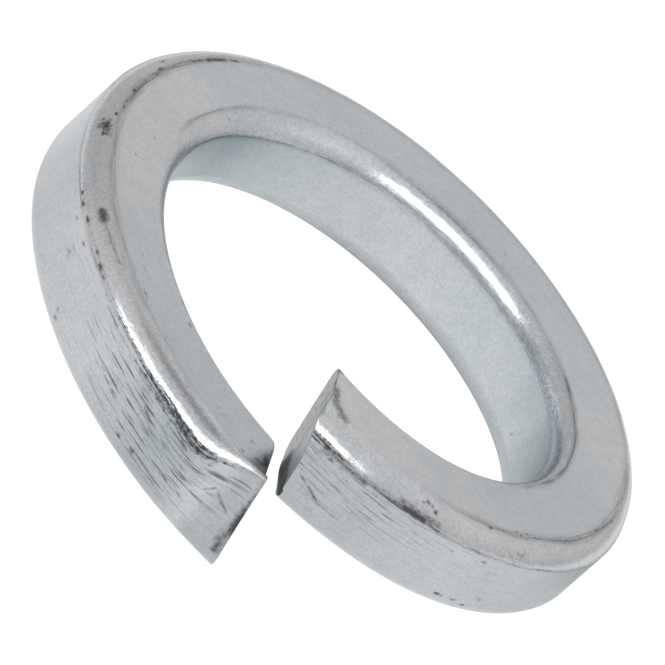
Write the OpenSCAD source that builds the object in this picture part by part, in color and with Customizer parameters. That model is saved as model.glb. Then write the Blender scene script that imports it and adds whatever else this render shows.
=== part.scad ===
// Spring lock washer of nearly square section, one turn of wire wound left-handed.
// The coil's axis is +Z, and the origin lies on that axis, level with the washer's lowest point.
// One slanting cut, on the -Y side, parts the coil and leaves its two biting ends.
// All lengths are in millimetres and all angles in degrees.

/* [Section] */
// Diameter of the bore
bore_d = 20.5; // [16:0.1:28]
// Width of the section, from the bore out to the outer wall
section_w = 4.5; // [3.6:0.1:7]
// Thickness of the section, along the axis
section_t = 4.8; // [3.8:0.1:7]

/* [Coil] */
// Rise of the coil over one full turn
pitch = 4.7; // [1:0.1:9]

/* [Cut] */
// Gap between the two cut faces, measured round the ring at the middle of the section
cut_gap = 0.65; // [0.2:0.05:4]
// Lean of the cut faces from the coil's axis
cut_lean = 14; // [0:1:30]
// Turn of the lower end's cut face from straight out of the bore
low_skew = 4; // [0:1:15]
// Turn of the upper end's cut face from straight out of the bore
high_skew = 7; // [0:1:15]

/* [Edges] */
// Leg of the rounding between either face and the outer wall
outer_edge = 0.95; // [0.3:0.05:1.2]
// Leg, on the face, of the rounding between either face and the bore
inner_edge = 0.65; // [0.3:0.05:1.1]
// Leg, down the bore, of the same rounding
inner_drop = 1; // [0.3:0.05:1.3]
// Angle that each rounding turns through, which leaves a fine line on both its sides
edge_arc = 64; // [40:1:72]

/* [Shape of the ends] */
// Turn of the coil over which the section changes its shape towards either end
end_turn = 14; // [6:1:30]
// Leg of the small rounding that is left on the lower end's upper outer tip
tip_edge = 0.25; // [0.15:0.05:0.3]
// Height that this tip stands past the upper face
tip_lip = 0.4; // [0:0.05:0.5]
// Both legs of the lower inner rounding where it reaches the upper end
heel_inner_edge = 1.2; // [0.3:0.05:1.3]
// Leg of the lower outer rounding where it reaches the upper end
heel_outer_edge = 0.7; // [0.3:0.05:1.2]

/* [Fineness] */
// Steps in one turn of the coil
coil_steps = 120; // [60:12:144]
// Steps in each rounding
edge_steps = 5; // [3:1:6]

/* [Hidden] */

bore_r = bore_d / 2;
outer_r = bore_r + section_w;
mid_r = (bore_r + outer_r) / 2;
free_height = section_t + pitch;
wall_fn = 144;

// The wound wire stands this far past both walls, and the walls then trim it
trim = 0.4;
// Height that the walls reach past the coil at either end
wall_reach = 2;

// Where the cut passes through the coil
cut_azimuth = -90;
lean_slope = tan(cut_lean);
low_slope = tan(low_skew);
high_slope = tan(high_skew);

// The steps along the coil are this much closer at its ends than in its middle
crowding = 0.04;

// One rounding, as [distance past the wall, distance past the face] for each point, with its legs
// down the wall and along the face. It runs from beyond the wall to the face, and meets the wall
// halfway along its first step.
function edge_points(drop, leg, steps) =
    let (
        half = edge_arc / 2,
        radius = 1 / (sqrt(2) * sin(half)),
        centre = (1 + 1 / tan(half)) / 2,
        step = edge_arc / (steps - 0.5),
        first = 45 - half - step / 2,
        start_drop = drop * (centre - radius * sin(first))
    )
    concat(
        [[trim, -start_drop - trim]],
        [for (k = [0 : steps])
            let (angle = first + k * step)
            [leg * (radius * cos(angle) - centre), k == steps ? 0 : drop * (radius * sin(angle) - centre)]]
    );

// The outer rounding as it stands at the tip: small, raised, and sloping back to the face
tip_points = concat(
    [for (p = edge_points(tip_edge, tip_edge, edge_steps - 1)) [p[0], p[1] + tip_lip]],
    [[-outer_edge, 0]]
);

function reversed(list) = [for (k = [len(list) - 1 : -1 : 0]) list[k]];

// One side of the section from the bore outwards, as [radius, distance past the face]
function side(inner_points, outer_points) = concat(
    [for (p = inner_points) [bore_r - p[0], p[1]]],
    [for (p = reversed(outer_points)) [outer_r + p[0], p[1]]]
);
inner_points = edge_points(inner_drop, inner_edge, edge_steps);
plain_side = side(inner_points, edge_points(outer_edge, outer_edge, edge_steps));
tip_side = side(inner_points, tip_points);
heel_side = side(
    edge_points(heel_inner_edge, heel_inner_edge, edge_steps),
    edge_points(heel_outer_edge, heel_outer_edge, edge_steps)
);
side_count = len(plain_side);
section_count = 2 * side_count;

// How far the section has changed at the given share of the coil's length from an end
function change(share) =
    let (t = min(1, share * 360 / end_turn))
    1 - t * t * (3 - 2 * t);

// Both sides of the section at the given share of the coil's length from the lower end
function lower_side(share) = plain_side + change(1 - share) * (heel_side - plain_side);
function upper_side(share) = plain_side + change(share) * (tip_side - plain_side);

// The whole section there, as [radius, height above the lower face], with its lower side first
function section(share) = concat(
    [for (p = lower_side(share)) [p[0], -p[1]]],
    [for (p = reversed(upper_side(share))) [p[0], section_t + p[1]]]
);

// Angle from the cut's azimuth to the cut face, for the fibre through point q of the section.
// rise is the coil's height at that end, and side is -1 at the lower end and 1 at the upper one.
function cut_angle(q, rise, side) =
    let (
        above_middle = q[1] + rise - free_height / 2,
        skew_slope = side < 0 ? low_slope : high_slope,
        along = side * cut_gap / 2 - lean_slope * above_middle + skew_slope * (q[0] - mid_r),
        reach = q[0] - lean_slope * pitch / (2 * PI)
    )
    along / reach * 180 / PI;

function start_angle(q) = cut_angle(q, 0, -1);
function end_angle(q) = cut_angle(q, pitch, 1) - 360;

// Height of the lowest point, which is then brought to z = 0
lowest = min([for (q = section(0)) q[1] - pitch * start_angle(q) / 360]);

// Place of section point q at the given share of the coil's length
function coil_point(q, share) =
    let (angle = start_angle(q) + share * (end_angle(q) - start_angle(q)))
    [
        q[0] * cos(cut_azimuth + angle),
        q[0] * sin(cut_azimuth + angle),
        q[1] - pitch * angle / 360 - lowest
    ];

// Share of the coil's length at step i
function share_at(i) = i / coil_steps - crowding * sin(360 * i / coil_steps);

// The wire with its rounded edges, wound into the coil and cut, before the walls trim it
module wound_wire() {
    points = [
        for (i = [0 : coil_steps])
            let (share = share_at(i))
            for (q = section(share)) coil_point(q, share)
    ];
    last_ring = coil_steps * section_count;
    skin = [
        for (i = [0 : coil_steps - 1])
            for (j = [0 : section_count - 1])
                let (
                    a = i * section_count + j,
                    b = i * section_count + (j + 1) % section_count,
                    c = b + section_count,
                    d = a + section_count
                )
                for (face = [[a, c, b], [a, d, c]]) face
    ];
    first_cut = [
        for (j = [0 : side_count - 2])
            let (top = section_count - 1 - j)
            for (face = [[j, j + 1, top - 1], [j, top - 1, top]]) face
    ];
    last_cut = [for (face = first_cut) [for (k = [2 : -1 : 0]) face[k] + last_ring]];
    polyhedron(points = points, faces = concat(skin, first_cut, last_cut), convexity = 6);
}

// The space between the bore and the outer wall
module ring_walls() {
    height = free_height + 2 * wall_reach;
    translate([0, 0, -wall_reach])
        difference() {
            cylinder(r = outer_r, h = height, $fn = wall_fn);
            translate([0, 0, -wall_reach])
                cylinder(r = bore_r, h = height + 2 * wall_reach, $fn = wall_fn);
        }
}

module washer() {
    color([0.73, 0.76, 0.79])
        intersection() {
            ring_walls();
            wound_wire();
        }
}

washer();
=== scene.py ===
"""Looks of the spring lock washer: a fine mesh of the CAD's own form, satin zinc, and a plain studio."""

import math
from types import SimpleNamespace

import bpy
import numpy as np
from mathutils import Matrix, Vector


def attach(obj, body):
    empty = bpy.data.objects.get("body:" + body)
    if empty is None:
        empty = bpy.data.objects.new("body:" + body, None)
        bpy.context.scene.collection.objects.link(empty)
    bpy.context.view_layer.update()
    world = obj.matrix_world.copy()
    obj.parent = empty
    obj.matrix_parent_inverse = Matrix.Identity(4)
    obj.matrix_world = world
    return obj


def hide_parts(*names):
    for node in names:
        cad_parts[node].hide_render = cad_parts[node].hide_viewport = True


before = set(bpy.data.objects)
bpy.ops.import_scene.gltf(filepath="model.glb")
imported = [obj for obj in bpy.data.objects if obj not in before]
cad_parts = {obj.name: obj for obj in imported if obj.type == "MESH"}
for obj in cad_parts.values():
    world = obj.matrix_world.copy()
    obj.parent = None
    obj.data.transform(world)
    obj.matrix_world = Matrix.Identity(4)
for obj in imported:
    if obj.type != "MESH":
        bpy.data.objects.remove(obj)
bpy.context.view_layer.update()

MM = 0.001

# The washer's sizes in millimetres and degrees, as in the CAD
BORE_R = 10.25
OUTER_R = 14.75
THICK = 4.8
PITCH = 4.7
CUT_GAP = 0.65
CUT_LEAN = 14.0
LOW_SKEW, HIGH_SKEW = 4.0, 7.0
CUT_AZIMUTH = -90.0
OUTER_EDGE = 0.95
INNER_EDGE, INNER_DROP = 0.65, 1.0
EDGE_ARC = 64.0
END_TURN = 14.0
# The roundings at both ends, a little closer to the photo than the CAD's
TIP_EDGE, TIP_LIP = 0.18, 0.55
HEEL_INNER_EDGE, HEEL_OUTER_EDGE = 0.45, 0.85

MID_R = (BORE_R + OUTER_R) / 2
FREE_HEIGHT = THICK + PITCH
LEAN = math.tan(math.radians(CUT_LEAN))
LOW_SLOPE = math.tan(math.radians(LOW_SKEW))
HIGH_SLOPE = math.tan(math.radians(HIGH_SKEW))

# Fineness of the visual mesh
RINGS = 735
WALL_STEPS, OUTER_STEPS, FACE_STEPS, INNER_STEPS = 16, 16, 18, 11
LOWER_FACE_STEPS, LOWER_OUTER_STEPS = 14, 13
CAP_BENDS = (15, 30, 45, 60, 75, 90)
CAP_RINGS = 9
# How much closer the points lie at both ends of a rounding, of a flat stretch and of the coil
ROUND_CROWD, FLAT_CROWD, COIL_CROWD = 0.5, 0.88, 0.010


# Smooth seeded noise
LATTICE = (256, 64)


def noise(u, v, step_u, step_v, seed):
    """Smooth noise from -1 to 1 whose bumps are step_u by step_v millimetres."""
    rows, columns = LATTICE
    table = np.random.RandomState(seed).uniform(-1.0, 1.0, LATTICE)
    x, y = u / step_u, v / step_v
    i, j = np.floor(x).astype(int), np.floor(y).astype(int)
    fx, fy = x - i, y - j
    fx, fy = fx * fx * (3 - 2 * fx), fy * fy * (3 - 2 * fy)
    i0, i1, j0, j1 = i % rows, (i + 1) % rows, j % columns, (j + 1) % columns
    low = table[i0, j0] * (1 - fx) + table[i1, j0] * fx
    high = table[i0, j1] * (1 - fx) + table[i1, j1] * fx
    return low * (1 - fy) + high * fy


def ramp(x, start, end):
    """0 before start, 1 after end, and smooth between them."""
    t = np.clip((x - start) / (end - start), 0, 1)
    return t * t * (3 - 2 * t)


def bell(x, centre, width):
    """1 at the centre, and less than half at one width from it."""
    return np.exp(-((x - centre) / width) ** 2)


def bumps(x, rows, base=0.0):
    """A base value with bumps on it, each as (size, middle, half width)."""
    return base + sum(size * bell(x, middle, width) for size, middle, width in rows)


# The section and the coil
def spread(steps, crowd):
    """Shares from 0 to 1 that lie closer together at both ends, so that a crease stays crisp."""
    t = np.linspace(0, 1, steps + 1)
    return t - crowd * np.sin(2 * math.pi * t) / (2 * math.pi)


def rounding(steps, crowd=ROUND_CROWD):
    """One rounding with legs of 1 from the wall to the face, as distances past the wall and the face."""
    half = math.radians(EDGE_ARC / 2)
    radius = 1 / (math.sqrt(2) * math.sin(half))
    centre = (1 + 1 / math.tan(half)) / 2
    angle = math.pi / 4 - half + 2 * half * spread(steps, crowd)
    return np.stack([radius * np.cos(angle) - centre, radius * np.sin(angle) - centre], -1)


def with_legs(shape, leg, drop):
    """A rounding with its leg along the face and its drop down the wall at every ring."""
    return np.stack([shape[..., 0] * leg[:, None], shape[..., 1] * drop[:, None]], -1)


def tip_rounding(steps):
    """The outer rounding as it stands at a tip: small, raised, and sloping back to the face."""
    first = steps // 2
    small = rounding(first, 0.0) * TIP_EDGE + [0, TIP_LIP]
    t = np.linspace(0, 1, steps - first + 1)[1:, None]
    return np.concatenate([small, small[-1] + t * (np.array([-OUTER_EDGE, 0]) - small[-1])])


# The regions of the section in order, with where each starts on the map that the material reads
ARC = math.radians(EDGE_ARC) / (math.sqrt(2) * math.sin(math.radians(EDGE_ARC / 2)))
INNER_ARC = ARC * (INNER_EDGE + INNER_DROP) / 2
FACE_WIDTH = OUTER_R - BORE_R - OUTER_EDGE - INNER_EDGE
REGIONS = [
    ("outer_wall", WALL_STEPS, THICK - 2 * OUTER_EDGE),
    ("outer_top", OUTER_STEPS, OUTER_EDGE * ARC),
    ("top_face", FACE_STEPS, FACE_WIDTH),
    ("inner_top", INNER_STEPS, INNER_ARC),
    ("bore", WALL_STEPS, THICK - 2 * INNER_DROP),
    ("inner_low", INNER_STEPS, INNER_ARC),
    ("lower_face", LOWER_FACE_STEPS, FACE_WIDTH),
    ("outer_low", LOWER_OUTER_STEPS, OUTER_EDGE * ARC),
]
START = {}
PERIMETER = 0.0
for region, steps, length in REGIONS:
    START[region] = PERIMETER
    PERIMETER += length


def change(share):
    """How far the section has changed at this share of the coil's length from an end."""
    t = np.clip(share * 360 / END_TURN, 0, 1)
    return 1 - t * t * (3 - 2 * t)


# The roundings aren't quite even round the washer: their legs and drops at some turns, as shares.
# A leg runs along the face and a drop runs down the wall.
OUTER_LEGS = [(0, 1), (70, 1.12), (90, 1), (340, 1), (360, 1.15)]
OUTER_DROPS = [(0, 0.95), (12, 0.86), (36, 0.84), (60, 0.97), (84, 0.95), (100, 0.85), (240, 1.1),
               (282, 1.1), (302, 0.86), (335, 0.87), (360, 0.95)]
INNER_LEGS = [(0, 1.1), (100, 1.45), (125, 1.3), (180, 1), (245, 0.78), (290, 0.85), (330, 1.1), (360, 1.1)]
INNER_DROPS = [(0, 0.9), (100, 0.7), (118, 0.88), (128, 1.02), (250, 1.07), (280, 0.95), (360, 0.9)]
# How far the upper inner rounding flattens into a bevel
INNER_BEVEL = [(0, 0), (80, 0.1), (100, 0.6), (148, 0.5), (168, -0.1), (222, -0.15), (245, 0), (360, 0)]
# Legs of the lower outer rounding
LOW_LEGS = [(0, 1.0), (60, 1.0), (86, 0.72), (112, 1.0), (360, 1.0)]
# Besides that they waver by this share, in bumps of this turn
WAVER, WAVER_TURN, WAVER_SEED = 0.03, 7.0, 21


def along(turn, stations, reach=15):
    """A value that runs smoothly through the stations round the washer, averaged over reach degrees."""
    turns, values = zip(*stations)
    fine = np.arange(-20, 380.5, 0.5)
    smooth = np.convolve(np.interp(fine, turns, values), np.ones(2 * reach + 1) / (2 * reach + 1), "same")
    return np.interp(turn, fine[reach + 1:-reach - 1], smooth[reach + 1:-reach - 1])


def section_at(share):
    """The section's radii and heights at each share of the coil's length, one row for each share."""
    turn = share * 360
    up, down = change(share), change(1 - share)
    uneven = 1 + WAVER * noise(turn, turn * 0, WAVER_TURN, 1.0, WAVER_SEED)
    plain = with_legs(rounding(OUTER_STEPS), OUTER_EDGE * uneven * along(turn, OUTER_LEGS),
                      OUTER_EDGE * uneven * along(turn, OUTER_DROPS))
    top = plain + up[:, None, None] * (tip_rounding(OUTER_STEPS) - plain)
    leg = (OUTER_EDGE + down * (HEEL_OUTER_EDGE - OUTER_EDGE)) * along(turn, LOW_LEGS)
    low = with_legs(rounding(LOWER_OUTER_STEPS), leg, leg)
    bevel = along(turn, INNER_BEVEL)[:, None, None]
    round_edge = rounding(INNER_STEPS)
    flat_edge = round_edge[0] + spread(INNER_STEPS, ROUND_CROWD)[:, None] * (round_edge[-1] - round_edge[0])
    inner = with_legs(round_edge + bevel * (flat_edge - round_edge), INNER_EDGE * along(turn, INNER_LEGS),
                      INNER_DROP * along(turn, INNER_DROPS))
    inner_low = with_legs(rounding(INNER_STEPS), INNER_EDGE + down * (HEEL_INNER_EDGE - INNER_EDGE),
                          INNER_DROP + down * (HEEL_INNER_EDGE - INNER_DROP))
    corners = {
        "outer_top": np.stack([OUTER_R + top[..., 0], THICK + top[..., 1]], -1),
        "inner_top": np.stack([BORE_R - inner[..., 0], THICK + inner[..., 1]], -1)[:, ::-1],
        "inner_low": np.stack([BORE_R - inner_low[..., 0], -inner_low[..., 1]], -1),
        "outer_low": np.stack([OUTER_R + low[..., 0], -low[..., 1]], -1)[:, ::-1],
    }
    between = {"outer_wall": ("outer_low", "outer_top"), "top_face": ("outer_top", "inner_top"),
               "bore": ("inner_top", "inner_low"), "lower_face": ("inner_low", "outer_low")}
    parts, v, names = [], [], []
    for region, steps, length in REGIONS:
        if region in corners:
            t, path = spread(steps, ROUND_CROWD), corners[region]
        else:
            t = spread(steps, FLAT_CROWD)
            a, b = (corners[name] for name in between[region])
            path = a[:, -1:] + t[None, :, None] * (b[:, :1] - a[:, -1:])
        parts.append(path[:, :-1])
        v.append(START[region] + length * t[:-1])
        names += [region] * steps
    path = np.concatenate(parts, 1)
    return path[..., 0], path[..., 1], np.concatenate(v), np.array(names)


def cut_angle(r, z, rise, side):
    """Angle in radians from the cut's azimuth to the cut face, for the fibre through (r, z)."""
    above_middle = z + rise - FREE_HEIGHT / 2
    slope = LOW_SLOPE if side < 0 else HIGH_SLOPE
    offset = side * CUT_GAP / 2 - LEAN * above_middle + slope * (r - MID_R)
    return offset / (r - LEAN * PITCH / (2 * math.pi)) - (2 * math.pi if side > 0 else 0)


def add_object(name, data):
    obj = bpy.data.objects.new(name, data)
    bpy.context.scene.collection.objects.link(obj)
    return obj


def to_space(r, z, angle, lowest):
    turned = math.radians(CUT_AZIMUTH) + angle
    return np.stack([r * np.cos(turned), r * np.sin(turned), z - PITCH * angle / (2 * math.pi) - lowest], -1)


# The edges between the skin and the cut faces, worn round at the lower end and crisp at the upper one:
# a plain radius, and bumps as (size, middle, half width) along the section's outline
LOW_EDGE, LOW_EDGE_BUMPS = 0.04, [(0.09, 1.2, 1.0), (0.40, START["inner_top"] + 0.5, 0.6)]
HIGH_EDGE, HIGH_EDGE_BUMPS = 0.05, [(0.08, 3.6, 0.8)]
# The shears left the upper end's edge standing out where the upper face meets its rounding
HIGH_LIP_BUMPS = [(0.33, 3.5, 1.15), (0.12, 13.8, 0.9), (-0.08, PERIMETER, 0.8)]
# The power with which that lip fades towards the middle of the cut face
LIP_FADE = 3


def cap(r_end, z_end, rise, side, edge, lip):
    """Rings that turn from the skin over a small edge onto the cut face and close it.

    lip is how far the edge of the cut face stands past its plane.
    """
    centre_r, centre_z = MID_R, THICK / 2
    far = np.hypot(r_end - centre_r, z_end - centre_z)
    bends = np.radians(CAP_BENDS)
    steps = [(1 - edge * (1 - math.cos(b)) / far, edge * (1 - math.sin(b))) for b in bends]
    steps += [((1 - edge / far) * (1 - s), 0 * edge) for s in np.linspace(0, 1, CAP_RINGS + 1)[1:]]
    made = []
    for k, back in steps:
        r = centre_r + (r_end - centre_r) * k
        z = centre_z + (z_end - centre_z) * k
        past = lip * max(k.max(), 0) ** LIP_FADE
        made.append((r, z, cut_angle(r, z, rise, side) + side * (back - past) / r))
    return made


# Waves that rolling and coiling leave in the skin, stronger on the roundings than on the flats:
# bump size along and across the wire, height on a rounding, height on a flat, and seed
WAVES = [(1.6, 0.9, 0.004, 0.004, 11), (0.55, 0.40, 0.0030, 0.0006, 12), (0.24, 0.22, 0.0009, 0.0002, 13)]
# The waves start this many degrees from the ends, and the skin lies this far inside the CAD's
WAVE_FREE_TURN, SKIN_INSET = 3.0, 0.003


def section_normals(r, z):
    """Outward direction in the section's plane at every point."""
    dr = np.roll(r, -1, 1) - np.roll(r, 1, 1)
    dz = np.roll(z, -1, 1) - np.roll(z, 1, 1)
    length = np.maximum(np.hypot(dr, dz), 1e-9)
    return dz / length, -dr / length


def waved(r, z, u, v0, names, share):
    """The skin's radii and heights with its waves, which fade out towards both ends."""
    soft = np.isin(names, ["outer_top", "inner_top", "inner_low", "outer_low"])
    across = np.broadcast_to(v0[None], u.shape)
    wave = sum(noise(u, across, step_u, step_v, seed) * np.where(soft, on_round, on_flat)[None]
               for step_u, step_v, on_round, on_flat, seed in WAVES)
    turn = share * 360
    settle = (ramp(turn, 0.0, WAVE_FREE_TURN) * ramp(360 - turn, 0.0, WAVE_FREE_TURN))[:, None]
    out_r, out_z = section_normals(r, z)
    return r + out_r * (wave - SKIN_INSET) * settle, z + out_z * (wave - SKIN_INSET) * settle


# The map that the material reads is in millimetres. On the skin it runs along and across the wire. The
# cut faces, of kind 1 at the lower end and kind 2 at the upper one, lie beside it: radius and height.
CUT_MAP_START, CUT_MAP_STEP = 80.0, 20.0
MAP_EDGE = 0.02


def cut_u(x, kind):
    """Where a cut face lies on the map, for the distance x from the bore."""
    return x + CUT_MAP_START + CUT_MAP_STEP * kind


def quads(rings, v0):
    """The faces between all rings, and the place of each face's corners on the map."""
    count = len(v0)
    map_u = [-angle * MID_R if kind == 0 else cut_u(r - BORE_R, kind) for r, z, angle, kind in rings]
    map_v = [v0 if kind == 0 else z for r, z, angle, kind in rings]
    j = np.arange(count)
    nxt = (j + 1) % count
    wrap = np.where(nxt == 0, PERIMETER, 0.0)
    faces, corners = [], []
    for i in range(len(rings) - 1):
        a, b = i * count + j, i * count + nxt
        faces.append(np.stack([a, b, b + count, a + count], -1))
        here, there = rings[i][3], rings[i + 1][3]
        if here == there:
            extra = wrap if here == 0 else 0.0
            us = [map_u[i][j], map_u[i][nxt], map_u[i + 1][nxt], map_u[i + 1][j]]
            vs = [map_v[i][j], map_v[i][nxt] + extra, map_v[i + 1][nxt] + extra, map_v[i + 1][j]]
        else:
            skin = i if here == 0 else i + 1
            first, last = (0.0, MAP_EDGE) if here == 0 else (-MAP_EDGE, 0.0)
            u, v = map_u[skin], map_v[skin]
            us = [u[j] + first, u[nxt] + first, u[nxt] + last, u[j] + last]
            vs = [v[j], v[nxt] + wrap, v[nxt] + wrap, v[j]]
        corners.append(np.stack([np.stack(us, -1), np.stack(vs, -1)], -1))
    return np.concatenate(faces), np.concatenate(corners)


def build_washer():
    """The washer's object, and where each of its vertices and faces lies on the washer and on the map."""
    share = np.linspace(0, 1, RINGS)
    share = share - COIL_CROWD * np.sin(2 * math.pi * share)
    r, z, v0, names = section_at(share)
    count = len(v0)
    low_end, high_end = (r[0], z[0], 0.0, -1), (r[-1], z[-1], PITCH, 1)
    lowest = (z[0] - PITCH * cut_angle(*low_end) / (2 * math.pi)).min()
    low_edge = bumps(v0, LOW_EDGE_BUMPS, LOW_EDGE)
    high_edge = bumps(v0, HIGH_EDGE_BUMPS, HIGH_EDGE)
    high_lip = bumps(v0, HIGH_LIP_BUMPS)

    start = cut_angle(r, z, 0.0, -1) - (low_edge / r[0])[None]
    end = cut_angle(r, z, PITCH, 1) + ((high_edge - high_lip) / r[-1])[None]
    angle = start + share[:, None] * (end - start)
    u = -angle * MID_R
    r, z = waved(r, z, u, v0, names, share)

    rings = [(*ring, 1.0) for ring in reversed(cap(*low_end, low_edge, 0 * low_edge))]
    first_skin = len(rings)
    rings += [(r[i], z[i], angle[i], 0.0) for i in range(RINGS)]
    rings += [(*ring, 2.0) for ring in cap(*high_end, high_edge, high_lip)]
    points = np.stack([to_space(*ring[:3], lowest) for ring in rings]) * MM
    faces, corners = quads(rings, v0)

    mesh = bpy.data.meshes.new("washer_skin")
    mesh.from_pydata(points.reshape(-1, 3).tolist(), [], faces.tolist())
    mesh.polygons.foreach_set("use_smooth", np.ones(len(mesh.polygons), bool))
    layer = mesh.uv_layers.new(name="wire_map")
    layer.data.foreach_set("uv", corners.astype(np.float32).ravel())
    mesh.update()
    obj = add_object("washer_zinc", mesh)

    kinds = np.array([ring[3] for ring in rings])
    where = {
        "turn": np.repeat(np.where(kinds == 1, 0.0, 360.0), count),
        "v": np.tile(v0, len(rings)),
        "r": np.concatenate([ring[0] for ring in rings]),
        "z": np.concatenate([ring[1] for ring in rings]),
        "kind": np.repeat(kinds, count),
        "corners": corners,
    }
    where["turn"][first_skin * count:(first_skin + RINGS) * count] = np.degrees(u / MID_R).ravel()
    return obj, where


# Material helpers
class Nodes:
    """Short calls for building a node tree."""

    def __init__(self, tree):
        self.tree = tree
        tree.nodes.clear()

    def add(self, kind, **values):
        node = self.tree.nodes.new(kind)
        for key, value in values.items():
            setattr(node, key, value)
        return node

    def link(self, a, b):
        self.tree.links.new(a, b)

    def feed(self, socket, value):
        if isinstance(value, bpy.types.NodeSocket):
            self.link(value, socket)
        else:
            socket.default_value = value

    def math(self, operation, a, b, clamp=False):
        node = self.add("ShaderNodeMath", operation=operation, use_clamp=clamp)
        self.feed(node.inputs[0], a)
        self.feed(node.inputs[1], b)
        return node.outputs[0]

    def plus(self, a, b, clamp=False):
        return self.math("ADD", a, b, clamp)

    def times(self, a, b, clamp=False):
        return self.math("MULTIPLY", a, b, clamp)

    def greatest(self, a, b, clamp=False):
        return self.math("MAXIMUM", a, b, clamp)

    def measure(self, operation, vector, by=(0, 0, 0)):
        """The LENGTH of a vector, or its DOT_PRODUCT with another."""
        node = self.add("ShaderNodeVectorMath", operation=operation)
        self.link(vector, node.inputs[0])
        node.inputs[1].default_value = by
        return node.outputs["Value"]

    def split(self, vector):
        node = self.add("ShaderNodeSeparateXYZ")
        self.link(vector, node.inputs[0])
        return node.outputs

    def scaled(self, vector, x, y, offset=0.0):
        """A place on the map stretched by x and y and moved by offset."""
        node = self.add("ShaderNodeVectorMath", operation="MULTIPLY_ADD")
        self.feed(node.inputs[0], vector)
        node.inputs[1].default_value = (x, y, 0.0)
        node.inputs[2].default_value = (offset, offset, 0.0)
        return node.outputs[0]

    def vector(self, x, y, z=0.0):
        node = self.add("ShaderNodeCombineXYZ")
        for socket, value in zip(node.inputs, (x, y, z)):
            self.feed(socket, value)
        return node.outputs[0]

    def noise(self, vector, scale, detail=2.0, roughness=0.5, flat=False):
        node = self.add("ShaderNodeTexNoise", noise_dimensions="2D" if flat else "3D")
        self.feed(node.inputs["Vector"], vector)
        node.inputs["Scale"].default_value = scale
        node.inputs["Detail"].default_value = detail
        node.inputs["Roughness"].default_value = roughness
        return node.outputs["Fac"]

    def range(self, value, low, high, to_low=0.0, to_high=1.0, smooth=True):
        node = self.add("ShaderNodeMapRange", interpolation_type="SMOOTHSTEP" if smooth else "LINEAR")
        self.feed(node.inputs[0], value)
        node.inputs[1].default_value = low
        node.inputs[2].default_value = high
        node.inputs[3].default_value = to_low
        node.inputs[4].default_value = to_high
        return node.outputs[0]

    def mix(self, factor, a, b, blend="MIX"):
        node = self.add("ShaderNodeMix", data_type="RGBA", blend_type=blend)
        self.feed(node.inputs[0], factor)
        for socket, value in ((node.inputs[6], a), (node.inputs[7], b)):
            if isinstance(value, tuple):
                value = (*value, 1.0) if len(value) == 3 else value
            self.feed(socket, value)
        return node.outputs[2]

    def attribute(self, name):
        return self.add("ShaderNodeAttribute", attribute_name=name).outputs["Fac"]


def new_material(name):
    """A material, its nodes and the socket for its surface."""
    mat = bpy.data.materials.new(name)
    mat.use_nodes = True
    n = Nodes(mat.node_tree)
    return mat, n, n.add("ShaderNodeOutputMaterial").inputs[0]


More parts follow.
